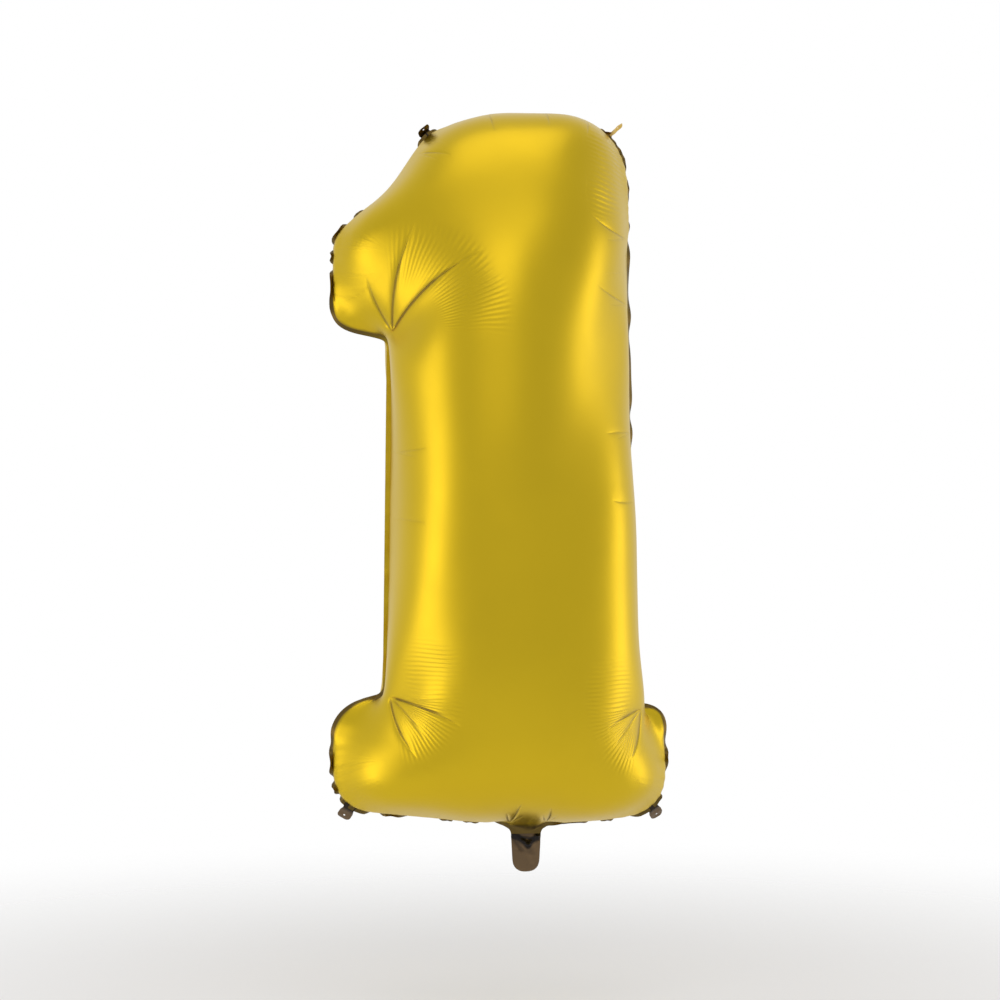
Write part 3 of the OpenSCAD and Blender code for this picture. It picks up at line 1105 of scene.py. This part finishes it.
def valve_piece(name, facing):
    """One clear film, close to the middle plane and bent with the tail."""
    bpy.ops.object.select_all(action="DESELECT")
    bpy.ops.mesh.primitive_grid_add(x_subdivisions=14, y_subdivisions=66, size=1)
    strip = bpy.context.object
    strip.name = name
    strip.data.name = name
    place = vertex_places(strip.data)
    across = place[:, 0] * VALVE_WIDE
    up = (VALVE_LOW + VALVE_HIGH) / 2 + place[:, 1] * (VALVE_HIGH - VALVE_LOW)
    weld_in = eased(np.abs(across), 10.5, 12.5)
    off = facing * (0.2 - 0.06 * weld_in)
    bend = np.where(up < TAIL_CUT / MM, fold_height(across, up), 0)
    spot = np.stack([across, off + bend, up], 1)
    strip.data.vertices.foreach_set("co", (spot * MM).ravel())
    strip.data.uv_layers.remove(strip.data.uv_layers[0])
    mapped(strip.data, "cut", np.stack([across, up], 1))
    walled(strip, VALVE_WALL, 0, 50)
    return strip


valve_front = valve_piece("valve_tube_front", -1)
valve_back = valve_piece("valve_tube_back", 1)

# %% [markdown]
# ## Finishes: the parts that foils share
# Metallised film is nylon or polyester with a coat of aluminium and a clear gold lacquer.
# Its surface is satin: it has a fine grain, and hair-thin wrinkles run square to the weld
# where the film is gathered. Both effects are used by several foils, so each is a node
# group with named inputs, and each foil sets its own amounts.

# %% Node helpers
def group_with(name, inputs, outputs):
    """An empty shader node group with float and colour sockets."""
    group = bpy.data.node_groups.new(name, "ShaderNodeTree")
    for label, kind, value in inputs:
        socket = group.interface.new_socket(name=label, in_out="INPUT", socket_type=kind)
        if value is not None:
            socket.default_value = value
    for label, kind in outputs:
        group.interface.new_socket(name=label, in_out="OUTPUT", socket_type=kind)
    source = group.nodes.new("NodeGroupInput")
    sink = group.nodes.new("NodeGroupOutput")
    source.location = (-900, 0)
    sink.location = (600, 0)
    return group, source, sink


def node(tree, kind, **settings):
    """Adds a node and sets its properties."""
    made = tree.nodes.new(kind)
    for name, value in settings.items():
        setattr(made, name, value)
    return made


def worked(tree, operation, first, second):
    """The result of a Math node whose two inputs are sockets or numbers."""
    made = node(tree, "ShaderNodeMath", operation=operation)
    for socket, value in zip(made.inputs, (first, second)):
        if isinstance(value, (int, float)):
            socket.default_value = value
        else:
            tree.links.new(value, socket)
    return made.outputs[0]


def ramp(tree, value, start, end, at_start=0.0, at_end=1.0, kind="SMOOTHSTEP"):
    """A value that goes from at_start to at_end while another goes from start to end."""
    made = node(tree, "ShaderNodeMapRange", interpolation_type=kind)
    made.inputs["From Min"].default_value = start
    made.inputs["From Max"].default_value = end
    made.inputs["To Min"].default_value = at_start
    made.inputs["To Max"].default_value = at_end
    tree.links.new(value, made.inputs["Value"])
    return made.outputs["Result"]


def noise(tree, place, scale, detail, roughness=0.5):
    """Soft random patches between 0 and 1."""
    made = node(tree, "ShaderNodeTexNoise")
    made.inputs["Scale"].default_value = scale
    made.inputs["Detail"].default_value = detail
    made.inputs["Roughness"].default_value = roughness
    tree.links.new(place, made.inputs["Vector"])
    return made.outputs["Fac"]


def mixed(tree, share, first, second, clamp_factor=True):
    """A colour between two others, each a socket or four numbers."""
    made = node(tree, "ShaderNodeMix", data_type="RGBA", clamp_factor=clamp_factor)
    tree.links.new(share, made.inputs["Factor"])
    for socket, value in ((made.inputs["A"], first), (made.inputs["B"], second)):
        if isinstance(value, tuple):
            socket.default_value = value
        else:
            tree.links.new(value, socket)
    return made.outputs["Result"]


def bumped(tree, height, distance, strength=1.0, over=None):
    """The normal after a height is added, over an earlier normal if there is one."""
    made = node(tree, "ShaderNodeBump")
    made.inputs["Strength"].default_value = strength
    made.inputs["Distance"].default_value = distance
    tree.links.new(height, made.inputs["Height"])
    if over is not None:
        tree.links.new(over, made.inputs["Normal"])
    return made.outputs["Normal"]


print("node helpers ready")

# %% [markdown]
# ## Hair-thin wrinkles
# They start at the weld, run square to it and fade out within a hand's breadth. A noise that
# is stretched along the seam map's second direction makes lines of uneven length. Where the
# seam is not drawn in there is nothing to gather, so the height follows the drawn-in share.

# %% The hair wrinkle group
# noise cells a metre along the seam and square to it, and the weight of each layer
HAIR_LAYERS = ((125, 9, 1.0), (230, 16, 0.45))


def hair_wrinkles():
    """Height of fine wrinkles square to the weld, from the seam map and the drawn-in share."""
    group, source, sink = group_with(
        "hair wrinkles",
        [("Way", "NodeSocketVector", None), ("Drawn", "NodeSocketFloat", 0.1),
         ("Reach", "NodeSocketFloat", 0.09)],
        [("Height", "NodeSocketFloat")],
    )
    split = node(group, "ShaderNodeSeparateXYZ")
    group.links.new(source.outputs["Way"], split.inputs[0])
    heights = []
    for scale, stretch, weight in HAIR_LAYERS:
        mapping = node(group, "ShaderNodeMapping")
        mapping.inputs["Scale"].default_value = (scale, stretch, 1)
        group.links.new(source.outputs["Way"], mapping.inputs["Vector"])
        heights.append(worked(group, "MULTIPLY", noise(group, mapping.outputs[0], 1, 1.5, 0.4), weight))
    both = worked(group, "ADD", heights[0], heights[1])
    inner = worked(group, "DIVIDE", split.outputs["Y"], source.outputs["Reach"])
    fade = ramp(group, inner, 0.1, 1, 1, 0)
    amount = worked(group, "MULTIPLY", fade, source.outputs["Drawn"])
    group.links.new(worked(group, "MULTIPLY", both, amount), sink.inputs["Height"])
    return group


wrinkle_group = hair_wrinkles()
print("shared effect:", wrinkle_group.name)

# %% [markdown]
# ## Grain of the lacquer
# No lacquer is quite even. Slow patches go from the base colour to a deeper one, smears
# change the gloss a little, and a very fine grain breaks up the shine.

# %% The foil grain group
def foil_grain():
    """Soft patches in the lacquer, fine grain for bump, and a gloss that changes a little."""
    group, source, sink = group_with(
        "foil grain",
        [("Base", "NodeSocketColor", (0.8, 0.5, 0.05, 1)), ("Deep", "NodeSocketColor", (0.6, 0.35, 0.03, 1)),
         ("Gloss", "NodeSocketFloat", 0.35), ("Spread", "NodeSocketFloat", 0.06)],
        [("Color", "NodeSocketColor"), ("Roughness", "NodeSocketFloat"), ("Grain", "NodeSocketFloat")],
    )
    place = node(group, "ShaderNodeTexCoord").outputs["Object"]
    color = mixed(group, noise(group, place, 7, 3), source.outputs["Base"], source.outputs["Deep"])
    group.links.new(color, sink.inputs["Color"])
    centred = worked(group, "SUBTRACT", noise(group, place, 26, 4), 0.5)
    change = worked(group, "MULTIPLY", centred, source.outputs["Spread"])
    gloss = worked(group, "ADD", change, source.outputs["Gloss"])
    group.links.new(gloss, sink.inputs["Roughness"])
    group.links.new(noise(group, place, 900, 2), sink.inputs["Grain"])
    return group


grain_group = foil_grain()
print("shared effect:", grain_group.name)

# %% [markdown]
# ## Folds and ribs
# A fold is a sharp valley: its depth is 1 / (1 + (gap / width) squared), which is steep at
# the bottom and dies away slowly. The ribs are a sine of the count that the film stores, and
# a slow noise shifts them and makes them patchy, as no two gathers are alike.

# %% The fold and rib group
def folds_and_ribs():
    """Height of the sharp folds and the rows of ribs, and a painted shade mask for the fold bottoms, from
    what the films store.
    """
    group, source, sink = group_with(
        "folds and ribs",
        [("Gap", "NodeSocketVector", None), ("Fade", "NodeSocketVector", None),
         ("Ribs", "NodeSocketFloat", 0), ("Rib Height", "NodeSocketFloat", 0),
         ("Width", "NodeSocketFloat", 0.0011)],
        [("Height", "NodeSocketFloat"), ("Line", "NodeSocketFloat"), ("Rib Wave", "NodeSocketFloat")],
    )
    gaps = node(group, "ShaderNodeSeparateXYZ")
    fades = node(group, "ShaderNodeSeparateXYZ")
    group.links.new(source.outputs["Gap"], gaps.inputs[0])
    group.links.new(source.outputs["Fade"], fades.inputs[0])
    total = 0.0
    for axis in "XYZ":
        share = worked(group, "DIVIDE", gaps.outputs[axis], source.outputs["Width"])
        square = worked(group, "MULTIPLY", share, share)
        bell = worked(group, "DIVIDE", 1.0, worked(group, "ADD", square, 1.0))
        total = worked(group, "ADD", worked(group, "MULTIPLY", bell, fades.outputs[axis]), total)
    group.links.new(worked(group, "MULTIPLY", total, -1.0), sink.inputs["Height"])
    # the squared fold depth, a mask for painted shade at the fold bottoms
    group.links.new(worked(group, "MULTIPLY", total, total), sink.inputs["Line"])
    drift = noise(group, node(group, "ShaderNodeTexCoord").outputs["Object"], 16, 1)
    count = worked(group, "ADD", source.outputs["Ribs"], worked(group, "MULTIPLY", drift, 1.6))
    wave = worked(group, "SINE", worked(group, "MULTIPLY", count, 2 * math.pi), 0)
    patchy = ramp(group, drift, 0.3, 0.6, 0.25, 1, "LINEAR")
    height = worked(group, "MULTIPLY", wave, source.outputs["Rib Height"])
    group.links.new(worked(group, "MULTIPLY", height, patchy), sink.inputs["Rib Wave"])
    return group


fold_group = folds_and_ribs()
print("shared effect:", fold_group.name)

# %% [markdown]
# ## The gathered surface
# Folds, ribs and wrinkles are too fine for the mesh, so they tilt the light with Bump nodes
# in a chain, each over the last. In a sharp fold two layers of film face each other and
# reflect only each other, so its bottom gets painted shade too: the colour is mixed towards dark brown.

# %% Wrinkled surface
# heights of the wrinkles, the folds, the ribs and the grain, in metres
HAIR_HEIGHT = 0.0022
FOLD_HEIGHT = 0.0026
RIB_HEIGHT = 0.0002
GRAIN_HEIGHT = 0.0002
FOLD_FIELDS = (("fold_gap", "Gap", "Vector"), ("fold_fade", "Fade", "Vector"),
               ("ribs", "Ribs", "Fac"), ("rib_height", "Rib Height", "Fac"))


def wrinkled_surface(tree, color, fold_shade_color):
    """The normal of gathered film, and its colour with painted shade in the folds."""
    hair = node(tree, "ShaderNodeGroup", node_tree=wrinkle_group)
    hair.inputs["Reach"].default_value = 0.11
    tree.links.new(node(tree, "ShaderNodeUVMap", uv_map="seam_way").outputs[0], hair.inputs["Way"])
    drawn = node(tree, "ShaderNodeAttribute", attribute_name="drawn")
    tree.links.new(drawn.outputs["Fac"], hair.inputs["Drawn"])
    creased = node(tree, "ShaderNodeGroup", node_tree=fold_group)
    for field, label, output in FOLD_FIELDS:
        stored_field = node(tree, "ShaderNodeAttribute", attribute_name=field)
        tree.links.new(stored_field.outputs[output], creased.inputs[label])
    normal = bumped(tree, hair.outputs["Height"], HAIR_HEIGHT)
    normal = bumped(tree, creased.outputs["Height"], FOLD_HEIGHT, over=normal)
    normal = bumped(tree, creased.outputs["Rib Wave"], RIB_HEIGHT, over=normal)
    # painted shade: the fold bottoms are mixed towards the dark colour
    line = worked(tree, "MULTIPLY", creased.outputs["Line"], 0.6)
    return normal, mixed(tree, line, color, fold_shade_color)


# %% [markdown]
# ## The foils
# One maker for all foils: a metal whose colour comes from the grain group, with painted shade
# on the welded edge, a darker brown for the dark things it mostly mirrors. Metallic stays a plain 1,
# because lacquered aluminium reflects as a metal does, tinted by the lacquer.

# %% Foil maker
def foil(name, base, deep, painted_shade_color, gloss, spread, wrinkled=False):
    """A metallised film in two shades of one colour, with painted shade mixed in where the painted shade
    mask is set.
    """
    material = bpy.data.materials.new(name)
    material.use_nodes = True
    tree = material.node_tree
    shader = tree.nodes["Principled BSDF"]
    shader.inputs["Metallic"].default_value = 1
    shader.inputs["Coat Weight"].default_value = 0.35
    shader.inputs["Coat Roughness"].default_value = 0.38
    shader.inputs["Coat IOR"].default_value = 1.5
    grain = node(tree, "ShaderNodeGroup", node_tree=grain_group)
    grain.inputs["Base"].default_value = base
    grain.inputs["Deep"].default_value = deep
    grain.inputs["Gloss"].default_value = gloss
    grain.inputs["Spread"].default_value = spread
    tree.links.new(grain.outputs["Roughness"], shader.inputs["Roughness"])
    # painted shade: the stored mask mixes the dark colour in
    edge = node(tree, "ShaderNodeAttribute", attribute_name="painted_shade_mask")
    color = mixed(tree, edge.outputs["Fac"], grain.outputs["Color"], painted_shade_color)
    normal = None
    if wrinkled:
        normal, color = wrinkled_surface(tree, color, painted_shade_color)
    tree.links.new(color, shader.inputs["Base Color"])
    normal = bumped(tree, grain.outputs["Grain"], GRAIN_HEIGHT, 0.12, normal)
    tree.links.new(normal, shader.inputs["Normal"])
    print("finish:", name)
    return material


# painted shade: dark brown for the weld and the fold bottoms, standing in for the dark things they mirror
WELD_PAINTED_SHADE = (0.07, 0.042, 0.018, 1)
gold_front = foil("gold_foil_front", (0.76, 0.54, 0.008, 1), (0.69, 0.485, 0.007, 1),
                  WELD_PAINTED_SHADE, 0.38, 0.08, wrinkled=True)
gold_back = foil("gold_foil_back", (0.75, 0.53, 0.01, 1), (0.68, 0.475, 0.008, 1),
                 WELD_PAINTED_SHADE, 0.39, 0.08, wrinkled=True)
# painted shade: the tail gets a dark brown base in place of the gold, for the dark things it mirrors, and
# near black in its folds
painted_shade_tail_foil = foil("gold_foil_tail_painted_shade", (0.23, 0.15, 0.075, 1), (0.13, 0.085, 0.045, 1),
                 (0.012, 0.01, 0.01, 1), 0.4, 0.12)
# painted shade: three of the tabs get a dark brown base for the dark things they mirror; the top right tab
# keeps the gold, with a brown painted shade at its root
painted_shade_tab_foil = foil("gold_foil_tab", (0.2, 0.13, 0.07, 1), (0.12, 0.08, 0.045, 1),
                (0.02, 0.015, 0.012, 1), 0.42, 0.1)
bright_tab = foil("gold_foil_tab_bright", (0.78, 0.5, 0.01, 1), (0.7, 0.44, 0.01, 1),
                  (0.3, 0.17, 0.02, 1), 0.4, 0.1)

# %% [markdown]
# ## The clear valve film
# Soft polyethylene: clear with a faint milky haze. It is kept simple, with a little of the
# grain in its roughness.

# %% Clear film
def clear_film():
    """Soft clear film with a faint haze."""
    material = bpy.data.materials.new("clear_valve_film")
    material.use_nodes = True
    tree = material.node_tree
    shader = tree.nodes["Principled BSDF"]
    shader.inputs["Transmission Weight"].default_value = 0.85
    shader.inputs["IOR"].default_value = 1.5
    grain = node(tree, "ShaderNodeGroup", node_tree=grain_group)
    grain.inputs["Base"].default_value = (0.9, 0.92, 0.93, 1)
    grain.inputs["Deep"].default_value = (0.8, 0.83, 0.85, 1)
    grain.inputs["Gloss"].default_value = 0.22
    tree.links.new(grain.outputs["Color"], shader.inputs["Base Color"])
    tree.links.new(grain.outputs["Roughness"], shader.inputs["Roughness"])
    return material


valve_clear = clear_film()
print("finish:", valve_clear.name)

# %% [markdown]
# ## Hand the pieces to the frame
# Each piece gets its finish, and the CAD nodes it stands for are hidden. The two films are
# attached to the balloon's body; the tail, the tabs and the valve have their places baked
# into their points.


def dress(piece, material, slot_name, *nodes):
    """Gives a piece its finish and hides the CAD nodes it stands for. slot_name is not used."""
    piece.data.materials.clear()
    piece.data.materials.append(material)
    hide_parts(*nodes)


for piece, material, slot_name, panel in (
    (film_front, gold_front, "foil_front", "front_panel"),
    (film_back, gold_back, "foil_back", "back_panel"),
):
    dress(piece, material, slot_name, panel)
    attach(piece, "balloon")

for piece, panel in ((tail_front, "tail_front_film"), (tail_back, "tail_back_film")):
    dress(piece, painted_shade_tail_foil, "foil_tail", panel)
    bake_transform(piece)

for piece, inner, outer in (
    (valve_front, "valve_front_film", "tail_valve_front_film"),
    (valve_back, "valve_back_film", "tail_valve_back_film"),
):
    dress(piece, valve_clear, "valve_film", inner, outer)
    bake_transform(piece)

for panel, (piece, root, out, along) in tabs.items():
    dress(piece, bright_tab if panel == "tab_top_right" else painted_shade_tab_foil, "foil_tab", panel)
    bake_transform(piece)

# %% [markdown]
# ## Floor
# A pale floor lies a little below the tail. Its far edge fades out, so no hard line shows
# where it ends. It is stage, not part of the balloon.

# %% The pale floor
FLOOR_DROP = 0.16
bpy.ops.object.select_all(action="DESELECT")
floor_place = (0, 0, low[2] - FLOOR_DROP)
bpy.ops.mesh.primitive_circle_add(vertices=96, radius=4, fill_type="NGON", location=floor_place)
floor = bpy.context.object
floor.name = "floor"
pale = bpy.data.materials.new("pale_floor")
pale.use_nodes = True
tree = pale.node_tree
shader = tree.nodes["Principled BSDF"]
shader.inputs["Base Color"].default_value = (0.7, 0.7, 0.7, 1)
shader.inputs["Roughness"].default_value = 0.8
shader.inputs["Emission Color"].default_value = (1, 1, 1, 1)
shader.inputs["Emission Strength"].default_value = 0.2
clear = node(tree, "ShaderNodeBsdfTransparent")
mix = node(tree, "ShaderNodeMixShader")
spot = node(tree, "ShaderNodeTexCoord")
length = node(tree, "ShaderNodeVectorMath", operation="LENGTH")
tree.links.new(spot.outputs["Object"], length.inputs[0])
tree.links.new(ramp(tree, length.outputs["Value"], 0.3, 1.6), mix.inputs["Fac"])
tree.links.new(shader.outputs[0], mix.inputs[1])
tree.links.new(clear.outputs[0], mix.inputs[2])
tree.links.new(mix.outputs[0], tree.nodes["Material Output"].inputs["Surface"])
floor.data.materials.append(pale)
print("floor at, m:", round(floor.location.z, 3))

# %% [markdown]
# ## Light
# A satin metal shows what is around it. Two tall soft boxes at the sides make the long
# bright streaks. A box above lights the shoulders, and a wide one over the camera lifts the
# upper half. Lamps of a slightly warm white keep the gold from looking green.

# %% Soft boxes
LAMP_COLOR = (1, 0.9, 0.82)


def soft_box(name, place, target, width, height, power):
    """A lit panel that the camera doesn't see."""
    bpy.ops.object.select_all(action="DESELECT")
    bpy.ops.object.light_add(type="AREA", location=place)
    box = bpy.context.object
    box.name = name
    box.data.shape = "RECTANGLE"
    box.data.size = width
    box.data.size_y = height
    box.data.energy = power
    box.data.color = LAMP_COLOR
    box.visible_camera = False
    aim(box, target)
    print(name, "W:", power)


heart = (middle[0], 0, 0.42)
soft_box("left_box", (-1.9, -0.62, 0.12), heart, 0.8, 1.5, 6.5)
soft_box("right_box", (1.95, -0.2, 0.12), heart, 0.7, 1.5, 5.5)
soft_box("top_box", (-0.1, -0.8, 2.4), heart, 1.8, 1.2, 6.5)
soft_box("front_box", (-0.3, -3.4, 1.9), (0, 0, 0.75), 2.4, 1.0, 12)

# %% [markdown]
# ## The room
# The world gives the rest of the light: dim in front of the balloon, bright behind it, so
# that the edges of the balloon catch a pale rim. Light Path lets the camera see plain white
# instead.

# %% The room
ROOM_FRONT = 0.56
ROOM_BEHIND = 0.8
world = bpy.data.worlds.new("room")
bpy.context.scene.world = world
world.use_nodes = True
tree = world.node_tree
room = tree.nodes["Background"]
coord = node(tree, "ShaderNodeTexCoord")
split = node(tree, "ShaderNodeSeparateXYZ")
tree.links.new(coord.outputs["Generated"], split.inputs[0])
tree.links.new(ramp(tree, split.outputs["Y"], -0.6, 0.9, ROOM_FRONT, ROOM_BEHIND), room.inputs["Strength"])
room.inputs["Color"].default_value = (1, 1, 1, 1)
backdrop = node(tree, "ShaderNodeBackground")
backdrop.inputs["Color"].default_value = (1, 1, 1, 1)
path = node(tree, "ShaderNodeLightPath")
blend = node(tree, "ShaderNodeMixShader")
tree.links.new(path.outputs["Is Camera Ray"], blend.inputs["Fac"])
tree.links.new(room.outputs[0], blend.inputs[1])
tree.links.new(backdrop.outputs[0], blend.inputs[2])
tree.links.new(blend.outputs[0], tree.nodes["World Output"].inputs["Surface"])
bpy.context.scene.view_settings.view_transform = "Standard"
print("room ready")
